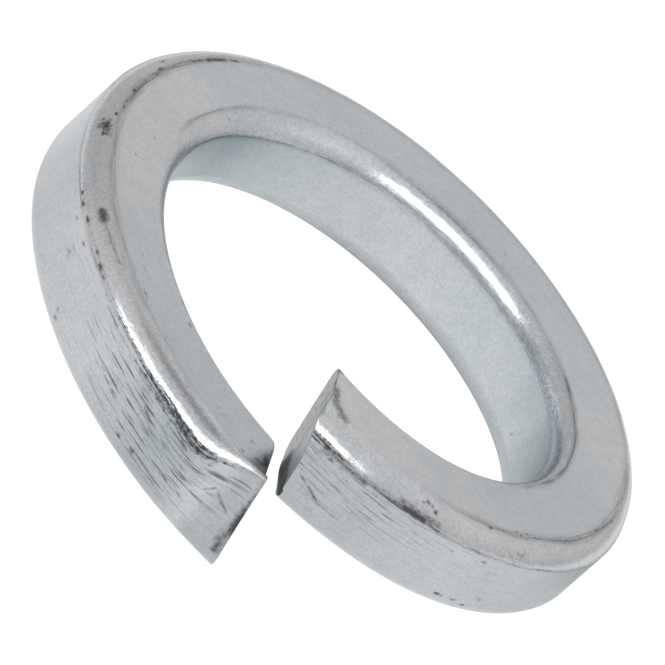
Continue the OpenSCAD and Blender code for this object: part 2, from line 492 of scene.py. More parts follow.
# Marks, soiling and painted shade
# Small round marks that stand out, read off the photo: the turn in degrees, then the place across the
# wire, length, half width and strength, with lengths in millimetres
SPOTS = [
    # The largest mark, on the upper rounding, with the specks round it
    (82.3, 3.8, 0.3, 0.15, 1), (80, 3.75, 0.1, 0.07, 0.9), (82, 3.5, 0.1, 0.06, 0.65),
    (79.8, 3.9, 0.1, 0.07, 0.7), (84, 3.6, 0.05, 0.06, 0.6), (84, 3.9, 0.05, 0.06, 0.6),
    # The row of dashes that goes on from it along the face's edge
    (86.5, 4.05, 0.05, 0.07, 0.95), (89.5, 4.25, 0.3, 0.08, 0.7), (92, 4.25, 0.25, 0.07, 0.7),
    (96, 4.25, 0.4, 0.08, 0.95), (101, 4.35, 0.4, 0.08, 0.65), (105.5, 4.3, 0.45, 0.07, 0.8),
    (108, 4.2, 0.3, 0.08, 1), (111, 3.85, 0.25, 0.05, 0.55),
    # The column of marks along the outer wall's upper edge
    (65.3, 2.95, 0.1, 0.07, 0.95), (62.8, 2.9, 0.2, 0.08, 1), (58.8, 3, 0.25, 0.07, 0.85),
    (55.2, 2.5, 0.1, 0.07, 0.65), (51.8, 3.05, 0.2, 0.05, 0.65), (48.9, 3, 0.25, 0.07, 1),
    (61, 2.45, 0.15, 0.05, 0.5), (46.8, 2.9, 0.2, 0.05, 0.7), (56.1, 1.65, 0.2, 0.07, 0.35),
    (56, 1.95, 0.15, 0.06, 0.3), (55.4, 1.5, 0.1, 0.06, 0.3), (48.2, 0.2, 0.1, 0.07, 0.4),
    (47.3, 16.7, 0.1, 0.06, 0.6), (23.3, 0.05, 0.05, 0.08, 0.6), (19.7, 0.2, 0.1, 0.08, 0.65),
    # Single specks on the upper face and on the inner rounding
    (40.9, 7.25, 0.1, 0.06, 0.5), (35.2, 7, 0.1, 0.07, 0.5), (7.3, 4.5, 0.05, 0.06, 0.5),
    (7, 5.7, 0.05, 0.07, 0.35), (16.2, 5.25, 0.05, 0.06, 0.35), (119.6, 7.65, 0.05, 0.06, 0.35),
    (88.5, 6.3, 0.05, 0.05, 0.3), (79.3, 5.6, 0.05, 0.05, 0.3), (242.7, 7.25, 0.25, 0.07, 0.7),
    (244.6, 10.75, 0.15, 0.07, 0.4),
    # The marks on the right of the photo, past the upper end
    (337.8, 3.8, 0.1, 0.07, 0.7), (336.7, 3.75, 0.05, 0.06, 0.5), (335.6, 3.6, 0.05, 0.07, 0.95),
    (338.6, 3.7, 0.05, 0.05, 0.5), (323.2, 2.85, 0.1, 0.06, 0.5), (328, 2.35, 0.05, 0.06, 0.4),
    (320.6, 2.5, 0.15, 0.06, 0.5), (322.6, 0.05, 0.2, 0.07, 0.9), (318.7, 0.05, 0.2, 0.06, 0.55),
    (315.7, 16.7, 0.15, 0.07, 0.9), (313.4, 0.5, 0.15, 0.07, 0.4), (322.3, 4.25, 0.15, 0.08, 0.85),
    (313.6, 4.35, 0.1, 0.07, 0.85), (311.4, 4.5, 0.1, 0.06, 0.65), (314.5, 4.5, 0.1, 0.06, 0.6),
    (278.3, 4.25, 0.2, 0.07, 0.65),
]
# Scratches, read off the photo: turn and place across at both ends, half width and strength
SCRATCHES = [
    # The tick by the lower end
    (7.2, 1.45, 6.7, 1.6, 0.035, 0.5), (6.7, 1.6, 5.8, 1.8, 0.035, 0.55), (5.5, 1.75, 3.8, 1.5, 0.04, 0.6),
    (3.8, 1.5, 1.9, 1.3, 0.04, 0.75),
    # The longer dark lines on the outer wall by the lower end
    (33, 0.95, 30.7, 0.95, 0.035, 0.8), (30.7, 0.95, 28.6, 0.9, 0.035, 0.65),
    (25.4, 0.9, 21.3, 0.85, 0.035, 0.6), (21.3, 0.85, 18.3, 0.85, 0.035, 0.4),
    (24.3, 1.85, 20.6, 1.65, 0.05, 0.8), (28.7, 1.75, 25.5, 1.7, 0.035, 0.4),
    (25.2, 2.6, 20.8, 2.6, 0.05, 0.9), (19.3, 2.6, 16.9, 2.5, 0.045, 0.75),
    (16.9, 2.5, 13.4, 2.2, 0.05, 0.75), (18.5, 2.9, 15.3, 2.8, 0.035, 0.6),
    (15.3, 2.8, 12.3, 2.6, 0.035, 0.65), (22.2, 0.25, 13.2, 0.25, 0.035, 0.55),
    (16.4, 0.65, 14.4, 0.7, 0.04, 0.5), (14.4, 0.7, 12.2, 0.65, 0.05, 0.75),
    (10.4, 0.7, 8.4, 0.6, 0.035, 0.45),
    # The dark lines on the outer wall by the upper end
    (358.7, 1.1, 355.9, 0.9, 0.045, 0.6), (355.9, 0.9, 352.4, 0.6, 0.05, 0.9),
    (351.7, 0.6, 348, 0.55, 0.035, 0.45), (359.1, 2.55, 358.1, 2.55, 0.045, 0.7),
    (358.1, 2.55, 357.4, 2.6, 0.045, 0.6), (357.1, 2.5, 356.1, 2.55, 0.05, 0.75),
    (356.3, 2.65, 355.3, 2.65, 0.035, 0.4),
    # Short marks on the upper rounding and the face
    (43.1, 4.7, 41, 4.65, 0.055, 0.6), (52, 5.5, 50.9, 5.45, 0.05, 0.35),
    (49.6, 5.35, 46.3, 5.4, 0.045, 0.3), (56.5, 3.75, 53.1, 3.8, 0.055, 0.5),
    (53.1, 3.8, 49.6, 3.85, 0.05, 0.6), (49.1, 3.75, 47.9, 3.95, 0.045, 0.45),
    (315, 3.55, 313.8, 3.35, 0.05, 0.4), (313.8, 3.35, 312.8, 3.55, 0.05, 0.45),
    (318, 3.55, 315.9, 3.2, 0.045, 0.3), (315.4, 2.95, 313.7, 2.8, 0.045, 0.35),
    (327.7, 3.05, 322, 2.75, 0.045, 0.25),
]
# Faint drawing scratches: where each starts, the turn that it runs back and its slope down over that
FAINT_WIDTH, FAINT_STRENGTH = 0.03, 0.35
FAINT_STARTS = [(20.6, 1.3), (18, 1.65), (16.2, 1.4), (26.1, 1.75), (357.2, 1.15), (356.9, 1.5),
                (355.3, 1.7), (355.3, 2.15), (356.6, 0.7), (349, 1.35)]
FAINT_TURN, FAINT_SLOPE = 5.5, 0.12
# Larger soft stains in the same form, which the mesh carries, some of them painted shade and painted dark
# reflection
STAINS_AND_SHADE = [
    # Round the marks on the upper rounding and along the face's edge
    (59.9, 3.7, 58.2, 3.7, 0.26, 0.75), (57.3, 3.7, 48.6, 3.85, 0.15, 0.4),
    (83.4, 3.7, 80.2, 3.9, 0.34, 0.45), (117.4, 4.3, 120.5, 4.35, 0.1, 0.5),
    (122.5, 4.35, 127.7, 4.4, 0.12, 0.7), (129.1, 4.4, 131.4, 4.45, 0.1, 0.5),
    # Along the lower end's edge and on its corner
    (-1.6, 0.1, 0.4, 2.85, 0.26, 0.58), (-0.9, 1.15, -0.5, 1.75, 0.17, 0.95),
    (-0.8, 1.7, -0.2, 2.2, 0.2, 0.95), (-1.1, 1.45, -0.8, 1.7, 0.14, 0.6),
    (-1.2, 0.3, -0.5, 0.65, 0.28, 0.45), (-1.7, 0.05, -1.1, 0.3, 0.28, 0.45),
    (0.1, 4.6, 1.4, 3.4, 0.2, 0.45), (2.7, 5.65, 2.1, 5.2, 0.22, 0.75), (4.3, 4.9, 2.8, 4.95, 0.08, 0.6),
    (2.9, 4.9, 1.6, 5.1, 0.18, 0.55),
    # Along the upper end's edge and on its corner: painted shade where the edge rolls over onto the cut face
    # and beside the crease under the highlight, and dirt on the corner
    (362.1, 4.75, 359.6, 4.4, 0.42, 0.56), (363.6, 5.8, 362.2, 4.8, 0.36, 0.56),
    (358.9, 2.75, 349.3, 2.7, 0.14, 0.6), (365.1, 7.2, 364, 7.3, 0.16, 0.75),
    (365.3, 6.9, 364.5, 6.7, 0.14, 0.35),
    # The black patch on the wall's edge past the upper end: dirt, with painted dark reflection under the
    # highlight
    (342.4, 3.1, 334.2, 3.1, 0.3, 0.5), (341.3, 2.95, 339.1, 2.95, 0.17, 0.85),
    (339.1, 2.95, 336.9, 2.95, 0.18, 0.9), (337.4, 2.95, 333.2, 2.85, 0.09, 0.6),
    # Soft lines along both edges of the upper rounding, on the right of the photo: painted crease shade
    (320.4, 4.35, 315.2, 4.45, 0.1, 0.35), (309.4, 4.35, 293.6, 4.4, 0.08, 0.4),
    (287.7, 4.4, 278.3, 4.25, 0.08, 0.5), (308.7, 2.9, 303.4, 2.9, 0.07, 0.5),
    (303.4, 2.9, 299.6, 2.95, 0.05, 0.35), (298, 2.95, 293, 2.95, 0.05, 0.3),
    (260.8, 4.55, 266.3, 4.2, 0.07, 0.35), (272.4, 4.4, 268, 4.3, 0.07, 0.4),
]
# Stains on the cut faces: distance from the bore and height at both ends, half width and strength. The three
# low on the upper cut face are painted dark reflection of the lower end across the gap.
LOW_CUT_STAINS = [(4.45, 2.8, 4.45, 3.1, 0.22, 1), (4.45, 2.45, 4.45, 2.8, 0.18, 0.8),
                  (4.45, 2.05, 4.45, 2.45, 0.15, 0.5), (4.5, 3.15, 4.5, 3.75, 0.16, 0.4)]
HIGH_CUT_STAINS_AND_SHADE = [(1.95, 0.4, 4, 0.75, 0.45, 0.95), (1.95, 0.8, 3.05, 0.8, 0.4, 0.8),
                   (3.05, 0.4, 4.15, 0.55, 0.3, 0.9), (1.85, 3.65, 1.9, 4.5, 0.25, 0.45),
                   (1.9, 4.5, 1.6, 4.8, 0.2, 0.5), (1.95, 3.15, 2, 2.65, 0.2, 0.3),
                   (2.3, 1.85, 2.35, 1.35, 0.22, 0.35)]


def run(turn):
    """The distance along the wire at this turn."""
    return math.radians(turn) * MID_R


def spot_rows():
    return [(run(turn) - length / 2, v, run(turn) + length / 2, v, width, strength)
            for turn, v, length, width, strength in SPOTS]


def line_rows(lines):
    return [(run(turn0), v0, run(turn1), v1, *rest) for turn0, v0, turn1, v1, *rest in lines]


def scratch_rows():
    faint = [(turn, v, turn - FAINT_TURN, v - FAINT_SLOPE, FAINT_WIDTH, FAINT_STRENGTH)
             for turn, v in FAINT_STARTS]
    return line_rows(SCRATCHES + faint)


def cut_rows(lines, kind):
    """Stains of a cut face, moved to where that face lies on the map."""
    return [(cut_u(x0, kind), z0, cut_u(x1, kind), z1, *rest) for x0, z0, x1, z1, *rest in lines]


# Soiling and painted shade along the four creases: the crease, its half width, and its strength at some
# turns. The specks are dirt.
CREASE_A, CREASE_B = START["outer_top"], START["top_face"]
CREASE_C, CREASE_D = START["inner_top"], START["bore"]
SPECKLED = [
    (CREASE_A - 0.07, 0.08, [(2, 0.2), (10, 0.5), (20, 0.6), (30, 0.55), (40, 0.55), (50, 0.65), (58, 0.5),
        (66, 0.6), (72, 0.35), (84, 0.4), (96, 0.1), (264, 0.1), (274, 0.5), (290, 0.6), (306, 0.7),
        (318, 0.6), (328, 0.6), (338, 0.75), (360, 0.7)]),
    (CREASE_B, 0.26, [(50, 0), (66, 0.3), (78, 0.35), (86, 0.5), (100, 0.6), (124, 0.6), (134, 0.3),
        (150, 0.1), (255, 0.1), (268, 0.45), (284, 0.55), (300, 0.5), (322, 0.55), (332, 0.3), (345, 0)]),
    (CREASE_C, 0.14, [(90, 0), (104, 0.3), (120, 0.3), (150, 0.1), (230, 0.2), (240, 0.5), (250, 0.45),
        (270, 0.5), (284, 0.6), (300, 0.3), (320, 0)]),
    (CREASE_D, 0.06, [(90, 0), (102, 0.4), (120, 0.1), (250, 0.1), (270, 0.6), (284, 0.7), (300, 0.3)]),
]
# Soft dark lines along the creases and the lower roundings: painted crease shade, in the brown of the dirt
# there
CREASE_SHADE_LINES = [
    (CREASE_A - 0.05, 0.07, [(0, 0.1), (12, 0.4), (40, 0.5), (60, 0.6), (90, 0.6), (104, 0), (264, 0.1),
        (280, 0.5), (310, 0.5), (330, 0.8), (360, 0.9)]),
    (CREASE_B + 0.02, 0.2, [(20, 0.15), (45, 0.4), (60, 0.5), (84, 0.55), (96, 0.85), (124, 0.8),
        (140, 0.2), (254, 0.3), (270, 0.65), (300, 0.7), (325, 0.55), (340, 0.1)]),
    (CREASE_C - 0.03, 0.13, [(95, 0), (104, 0.6), (125, 0.45), (150, 0.2), (228, 0.3), (242, 0.9),
        (290, 0.9), (310, 0.2)]),
    (START["outer_low"] + 0.33, 0.1, [(0, 0.55), (100, 0.35), (130, 0), (270, 0), (290, 0.35), (360, 0.45)]),
    (START["inner_low"] + 0.9, 0.1, [(100, 0.3), (130, 0.45), (240, 0.45), (255, 0.1)]),
]
# A dark line just inside the bore below its upper rounding: painted crease shade
BORE_SHADE_LINES = [
    (CREASE_D + 0.04, 0.1, [(90, 0.2), (100, 0.7), (112, 0.6), (130, 0.4), (160, 0.25), (200, 0.15),
        (225, 0.15), (262, 0.2), (280, 0.6), (300, 0.5)]),
]
# The dark streaky band on the wall side of the rounding, by the lower end and by the upper one: streaky dirt,
# with painted dark reflection beside the crease under the highlight
BAND_DIRT_AND_REFLECTION = [(0, 0), (4, 0.15), (8, 0.45), (12, 0.85), (18, 0.95), (24, 0.8), (32, 0.5), (40, 0.35), (50, 0.1),
        (60, 0), (338, 0), (348, 0.3), (360, 0.75)]
# Drawing marks on the outer wall
DRAWN = [(0, 0.15), (5, 0.5), (10, 0.85), (24, 0.9), (34, 0.55), (46, 0.25), (60, 0.1), (300, 0.1),
         (330, 0.25), (345, 0.4), (360, 0.5)]

# Turn, and how neutral the plating is on the upper side and on the wall there
WARM = [(0, 0, 0.4), (20, 0.05, 0.2), (45, 0.2, 0.6), (62, 0.8, 0.8), (100, 1, 0.1), (125, 0.4, 0.3),
        (155, 0.35, 0.3), (205, 0, 0.3), (235, 0.4, 0.3), (260, 0.9, 0.3), (290, 0.3, 0), (320, 0.6, 0.4),
        (345, 0.8, 0.4), (360, 0.9, 0.4)]

# Turn, and how bright the plating is painted on the wall and in the bore there, as painted shade and
# brightness standing in for their reflections
REFLECTION_SHADE = [(0, 0.8, 1), (4, 0.84, 1), (7, 1.05, 1), (12, 0.9, 1), (18, 0.85, 1), (28, 0.93, 1), (39, 1, 1),
        (60, 0.98, 1), (73, 0.86, 1), (90, 0.88, 0.92), (110, 0.95, 0.86), (125, 1, 0.88), (141, 1, 0.98),
        (164, 1, 0.9), (190, 1, 1), (237, 1, 1.02), (246, 1, 1.17), (262, 0.95, 1.1), (275, 0.86, 1),
        (290, 0.72, 1), (300, 0.82, 1), (324, 0.98, 1), (336, 0.94, 1), (351, 0.87, 1), (360, 0.85, 1)]

# The same painted brightness on the upper face
FACE_REFLECTION_SHADE = [(0, 0.95), (25, 0.92), (45, 0.94), (67, 0.97), (92, 1.02), (206, 0.97), (232, 1.02),
             (258, 1.02), (290, 0.96), (320, 0.955), (345, 1.02), (360, 1.03)]
# Painted sheen besides, brighter bands on the inner rounding: how much, turn, its half width, place across,
# and its half width
PAINTED_SHEEN = [(0.4, 258, 26, CREASE_D - 0.22, 0.2), (0.25, 151, 14, CREASE_C + 0.6, 0.25)]
# Greenish, darker parts in the bore, near its upper edge, and on the wall: the plating's tint, with painted
# darker reflection; strength, turn and half width
TEAL_BORE, TEAL_BORE_TOP = [(1.0, 112, 26), (0.7, 283, 22)], [(0.25, 255, 30)]
TEAL_WALL = [(0.45, 291, 13), (0.2, 15, 10)]
# Down the bore they weaken by this share over this depth
TEAL_FALL, TEAL_DEPTH = 0.45, 2.8
# How neutral the upper outer rounding is at least, the bore, and the cut faces
WARM_ROUNDING, WARM_BORE, WARM_CUT = 0.85, -0.15, 0.5


def by_turn(where, stations, column=1, beyond=None):
    """A column of the stations at each vertex's turn. Past both ends it goes on, or is what beyond says."""
    columns = list(zip(*stations))
    return np.interp(where["turn"], columns[0], columns[column], left=beyond, right=beyond)


def on_skin(where, amount, elsewhere=0):
    return np.where(where["kind"] == 0, amount, elsewhere)


def place_on_map(where):
    """Each vertex's place on the map, with the cut faces at their own places."""
    u = on_skin(where, np.radians(where["turn"]) * MID_R, cut_u(where["r"] - BORE_R, where["kind"]))
    return u, on_skin(where, where["v"], where["z"])


def stain_and_shade_mask(where):
    u, v = place_on_map(where)
    amount = np.zeros(len(u))
    rows = line_rows(STAINS_AND_SHADE) + cut_rows(LOW_CUT_STAINS, 1) + cut_rows(HIGH_CUT_STAINS_AND_SHADE, 2)
    for u0, v0, u1, v1, width, strength in rows:
        du, dv = u1 - u0, v1 - v0
        size = max(du * du + dv * dv, 1e-9)
        t = np.clip(((u - u0) * du + (v - v0) * dv) / size, 0, 1)
        far = np.hypot(u - u0 - t * du, v - v0 - t * dv) / width
        amount = np.maximum(amount, strength * np.exp(-far * far))
    return amount


def crease_mask(where, lines):
    amount = np.zeros(len(where["v"]))
    for crease, width, stations in lines:
        amount += bell(where["v"], crease, width) * by_turn(where, stations, beyond=0)
    return on_skin(where, amount)


def band_dirt_and_reflection_mask(where):
    """The dark band, streaky dirt with painted dark reflection: faint on the wall, dark beside the crease,
    and gone just past it.
    """
    v = where["v"]
    shape = 0.25 * ramp(v, 1.7, 2.3) + 0.75 * ramp(v, 2.3, CREASE_A - 0.05)
    return on_skin(where, by_turn(where, BAND_DIRT_AND_REFLECTION) * shape * (1 - ramp(v, CREASE_A + 0.1, CREASE_A + 0.24)))


def drawn_mask(where):
    """Drawing marks: most on the wall's upper part, few on the upper side, some on the lower side."""
    v = where["v"]
    shape = np.where(v < CREASE_A, 0.45 + 0.55 * ramp(v, 0.2, 2.2), 0.12)
    shape = np.where(v > START["outer_low"], 0.3, shape)
    return on_skin(where, by_turn(where, DRAWN) * shape)


def teal_and_shade_mask(where):
    v, turn = where["v"], where["turn"]
    bore = (v > CREASE_D - 0.1) & (v < START["lower_face"])
    wall = (v < CREASE_A) | (v > START["outer_low"])
    across = 1 - TEAL_FALL * np.clip((v - CREASE_D) / TEAL_DEPTH, 0, 1)
    inside = (bumps(turn, TEAL_BORE) + across * bumps(turn, TEAL_BORE_TOP)) * across
    return on_skin(where, np.where(wall, bumps(turn, TEAL_WALL), np.where(bore, inside, 0)))


def soft_band(where, start, end, edge=0.06):
    v = where["v"]
    return on_skin(where, ramp(v, start - edge, start + edge) * (1 - ramp(v, end - edge, end + edge)))


def rounded_mask(where):
    return soft_band(where, CREASE_A, CREASE_B) + soft_band(where, CREASE_C, CREASE_D)


def warm_mask(where):
    """Where the plating is neutral grey rather than bluish."""
    v = where["v"]
    on_face = (v > CREASE_A) & (v < CREASE_D - 0.05)
    amount = np.where(on_face, by_turn(where, WARM, 1), by_turn(where, WARM, 2))
    amount = np.where((v > CREASE_D) & (v < START["lower_face"]), WARM_BORE, amount)
    rounding_share = soft_band(where, CREASE_A, CREASE_B, 0.15)
    return on_skin(where, np.maximum(amount, WARM_ROUNDING * rounding_share), WARM_CUT)


def reflection_shade_mask(where):
    """Painted brightness of the plating's reflections, darker and brighter parts by turn, with painted sheen:
    1 is plain.
    """
    turn, v = where["turn"], where["v"]
    amount = np.where((v < CREASE_A) | (v > START["outer_low"]), by_turn(where, REFLECTION_SHADE, 1), 1.0)
    amount = np.where((v > CREASE_D) & (v < START["inner_low"]), by_turn(where, REFLECTION_SHADE, 2), amount)
    amount = np.where((v > CREASE_B) & (v < CREASE_C), by_turn(where, FACE_REFLECTION_SHADE), amount)
    for more, middle, reach, crease, width in PAINTED_SHEEN:
        amount = amount + more * bell(turn, middle, reach) * bell(v, crease, width)
    return on_skin(where, amount, 1.0)


def rough_tip_shade_mask(where):
    """The lower end's tip, which the shears left rough, and whose rounding is painted darker to dim the
    lamp's reflection there.
    """
    shape = ramp(where["v"], CREASE_A - 0.1, CREASE_A + 0.1) * (1 - ramp(where["v"], 4.2, 4.6))
    return on_skin(where, shape * (1 - ramp(where["turn"], 2.6, 5.6)))


MASKS = {
    "stain": stain_and_shade_mask,
    "speckled": lambda where: crease_mask(where, SPECKLED),
    "soft_line": lambda where: crease_mask(where, CREASE_SHADE_LINES),
    "bore_line": lambda where: crease_mask(where, BORE_SHADE_LINES),
    "band": band_dirt_and_reflection_mask,
    "drawn": drawn_mask,
    "teal": teal_and_shade_mask,
    "cut": lambda where: where["kind"],
    "rounded": rounded_mask,
    "warm": warm_mask,
    "tone": reflection_shade_mask,
    "dull": rough_tip_shade_mask,
}


def add_masks(obj, where):
    for name, mask in MASKS.items():
        layer = obj.data.attributes.new(name, "FLOAT", "POINT")
        layer.data.foreach_set("value", mask(where).astype(np.float32))


# How many marks' frames each face carries, how far past a mark's half width its frame reaches, and how
# near a face has to be in millimetres, so that the marks' rims can be ragged
MARK_LAYERS, MARK_REACH, MARK_NEAR = 2, 1.6, 0.3
# What a face that no mark is near carries
NO_MARK = [9.0, 9.0, 0.0]


def add_mark_frames(obj, where, name, rows):
    """Gives each face the frames of its nearest small marks.

    A frame measures the face's corners from the mark: 0 in its middle, 1 at its rim, and its strength third.
    """
    corners = where["corners"]
    middle = corners.mean(1)
    u0, v0, u1, v1, width, strength = np.array(rows).T
    length = np.hypot(u1 - u0, v1 - v0)
    along_u, along_v = (u1 - u0) / length, (v1 - v0) / length
    centre_u, centre_v = (u0 + u1) / 2, (v0 + v1) / 2
    half, wide = length / 2 + MARK_REACH * width, MARK_REACH * width

    def measured(u, v, pick):
        du, dv = u - centre_u[pick], v - centre_v[pick]
        return du * along_u[pick] + dv * along_v[pick], dv * along_u[pick] - du * along_v[pick]

    every = np.arange(len(rows))[None]
    x, y = measured(middle[:, :1], middle[:, 1:], every)
    beyond = np.hypot(np.maximum(np.abs(x) - length / 2, 0), y) - wide
    nearest = np.argsort(beyond, 1)[:, :MARK_LAYERS]
    for layer in range(MARK_LAYERS):
        pick = nearest[:, layer]
        near = np.take_along_axis(beyond, pick[:, None], 1)[:, 0] < MARK_NEAR
        x, y = measured(corners[..., 0], corners[..., 1], pick[:, None])
        strengths = np.broadcast_to(strength[pick, None], x.shape)
        measures = np.stack([x / half[pick, None], y / wide[pick, None], strengths], -1)
        measures = np.where(near[:, None, None], measures, NO_MARK)
        data = obj.data.attributes.new(f"{name}_{layer}", "FLOAT_VECTOR", "CORNER").data
        data.foreach_set("vector", measures.astype(np.float32).ravel())


def small_marks(n, name, ragged):
    """The stronger of the marks that each face has frames for, with a ragged rim."""
    total = 0.0
    for layer in range(MARK_LAYERS):
        measures = n.add("ShaderNodeAttribute", attribute_name=f"{name}_{layer}")
        x, y, strength = n.split(measures.outputs["Vector"])
        far = n.measure("LENGTH", n.vector(x, y))
        inside = n.math("SUBTRACT", 1.0, n.times(far, ragged), clamp=True)
        total = n.greatest(total, n.times(inside, strength))
    return total


# The plating
COOL_ZINC = (0.562, 0.603, 0.630)
WARM_ZINC = (0.602, 0.608, 0.622)
# The plating's greenish tint, which also paints darker reflection in the bore and on the wall
TEAL_AND_SHADE = (0.60, 0.73, 0.75)
CUT_TEAL = (0.62, 0.70, 0.71)
CUT_BROWN = (0.60, 0.58, 0.56)
# The black and brown of the dirt, which also paint crease shade and dark reflection
SOOT_AND_SHADE = (0.030, 0.030, 0.034)
RUST_AND_SHADE = (0.085, 0.062, 0.054)
# How fine the noises are: per metre in space, or per millimetre along and across the wire
CLOUDS, MOTTLES, GRAINS = 260.0, 1500.0, 7000.0
SPECKS, STREAKS, FINE_STREAKS = (4.2, 6.0), (0.5, 11.5), (1.6, 24.0)
GATES, TORN_STREAKS = (1.1, 2.4), (2.2, 5.5)
# The part of a noise's values that most of it lies in
CORE, WIDE_CORE = (0.3, 0.7), (0.25, 0.75)
# What the noises do to the plating's brightness; grain does more on the roundings than on the flats
CLOUD_SHADE, MOTTLE_SHADE, STREAK_SHADE = (0.97, 1.03), (-0.03, 0.03), (-0.012, 0.012)
# TIP_SHADE is painted shade that darkens the lower end's tip and dims the lamp's reflection on it
GRAIN_SHADE, TIP_SHADE = (0.06, 0.09), 0.4
# Where the upper cut face turns from brown to greenish on the map, and how bright the torn metal is
CUT_SPLIT, TORN_SHADE = (122.6, 123.2), (0.66, 1.15)
# How strongly each kind of soiling and painted shade covers the plating
LINE_SOOT, BAND_SOOT_AND_REFLECTION, BLOTCH_SOOT_AND_SHADE, SCRATCH_SOOT, BORE_LINE_SHADE = 0.68, 0.95, 0.85, 0.8, 0.6
SPECK_RUST, SPOT_RUST, DUST_RUST = 0.62, 0.9, 0.35
# Roughness of the plating, what fine streaks change, and what dirt with painted shade, torn metal and the
# dull tip add
ROUGHNESS, STREAK_ROUGHNESS = (0.21, 0.25), (-0.02, 0.03)
DIRT_ROUGHNESS, CUT_ROUGHNESS, TIP_ROUGHNESS = 0.12, 0.12, 0.30
# Relief: strength and depth of the bump in metres, and the share of each noise in it
BUMP_STRENGTH, BUMP_DEPTH = 0.5, 0.00002
MOTTLE_RELIEF, STREAK_RELIEF, GRAIN_RELIEF = 0.9, 0.5, (0.3, 0.4)


def fields(n):
    """The masks that the mesh carries, and the noises, by name."""
    f = SimpleNamespace(**{name: n.attribute(name) for name in MASKS})
    f.wire = n.add("ShaderNodeUVMap", uv_map="wire_map").outputs[0]
    solid = n.add("ShaderNodeTexCoord").outputs["Object"]
    f.cloud = n.noise(solid, CLOUDS, 2.0, 0.5)
    f.mottle = n.noise(solid, MOTTLES, 2.0, 0.6)
    f.grain = n.noise(solid, GRAINS, 1.0, 0.6)
    f.speck = n.noise(n.scaled(f.wire, *SPECKS, 40.0), 1.0, 2.5, 0.65, flat=True)
    f.streak = n.noise(n.scaled(f.wire, *STREAKS, 11.0), 1.0, 2.0, 0.5, flat=True)
    f.fine_streak = n.noise(n.scaled(f.wire, *FINE_STREAKS), 1.0, 1.0, 0.5, flat=True)
    f.gate = n.noise(n.scaled(f.wire, *GATES, 70.0), 1.0, 1.0, 0.5, flat=True)
    f.on_cut = n.math("GREATER_THAN", f.cut, 0.5)
    return f


def plating_colour(n, f):
    """Zinc with clouds of tint and brightness, fine grain, greenish parts with painted darker reflection,
    painted shade and brightness of the reflections by turn, and painted shade on the lower tip.
    """
    shade = n.plus(n.range(f.cloud, *CORE, *CLOUD_SHADE), n.range(f.mottle, *WIDE_CORE, *MOTTLE_SHADE))
    graininess = n.range(f.rounded, 0.0, 1.0, *GRAIN_SHADE, smooth=False)
    shade = n.plus(shade, n.times(n.range(f.grain, *WIDE_CORE, -1.0, 1.0), graininess))
    shade = n.plus(shade, n.range(f.fine_streak, *CORE, *STREAK_SHADE))
    # painted shade and brightness of the reflections, by turn
    shade = n.times(shade, f.tone)
    # painted shade over the lower end's tip, dimming the lamp's reflection there
    shade = n.times(shade, n.math("SUBTRACT", 1.0, n.times(f.dull, TIP_SHADE)))
    tint = n.plus(f.warm, n.range(f.cloud, *CORE, -0.2, 0.2))
    colour = n.mix(n.plus(n.times(tint, 0.8), 0.15, clamp=True), COOL_ZINC, WARM_ZINC)
    colour = n.mix(1.0, colour, n.vector(shade, shade, shade), "MULTIPLY")
    return n.mix(f.teal, colour, TEAL_AND_SHADE, "MULTIPLY")


def cut_colour(n, f):
    """Torn metal on the cut faces, greener towards the outer wall."""
    torn = n.noise(n.scaled(f.wire, *TORN_STREAKS), 1.0, 2.0, 0.65, flat=True)
    torn = n.range(torn, *CORE, *TORN_SHADE)
    brown = n.mix(1.0, CUT_BROWN, n.vector(torn, torn, torn), "MULTIPLY")
    return n.mix(n.range(n.split(f.wire)[0], *CUT_SPLIT), brown, CUT_TEAL)


def soot_and_shade_cover(n, f, ragged):
    """How far black covers the plating: drawing marks, blotches of dirt and painted shade, scratches, the
    dark band of dirt and painted dark reflection, and painted crease shade along the bore.
    """
    lines = n.range(n.plus(f.streak, n.times(f.drawn, 0.11)), 0.61, 0.69)
    lines = n.times(lines, n.range(f.gate, 0.32, 0.55, 0.25, 1.0))
    lines = n.times(lines, n.range(f.drawn, 0.0, 0.6, 0.05, 1.0))
    broken = n.plus(n.times(f.streak, 0.7), n.times(f.speck, 0.9))
    # the dark band: streaky dirt, with painted dark reflection beside the crease
    dark_band_and_reflection = n.range(n.plus(broken, n.times(f.band, 0.5)), 0.95, 1.34)
    dark_band_and_reflection = n.times(dark_band_and_reflection, n.range(f.band, 0.0, 0.15))
    # blotches: stains, and painted shade at the upper end's rolled edge and in the gap
    blotch_and_shade = n.range(n.plus(n.times(f.speck, 0.55), f.stain), 0.42, 1.05)
    blotch_and_shade = n.times(blotch_and_shade, n.range(f.stain, 0.03, 0.2))
    patchy = n.range(f.grain, 0.3, 0.6, 0.8, 1.5)
    scratches = n.times(small_marks(n, "scratch", ragged), patchy, clamp=True)

    soot_and_shade = n.greatest(n.times(lines, LINE_SOOT), n.times(dark_band_and_reflection, BAND_SOOT_AND_REFLECTION))
    soot_and_shade = n.greatest(soot_and_shade, n.times(blotch_and_shade, BLOTCH_SOOT_AND_SHADE))
    soot_and_shade = n.greatest(soot_and_shade, n.times(scratches, SCRATCH_SOOT))
    # painted crease shade along the bore's upper edge
    return n.greatest(soot_and_shade, n.times(f.bore_line, BORE_LINE_SHADE), clamp=True)


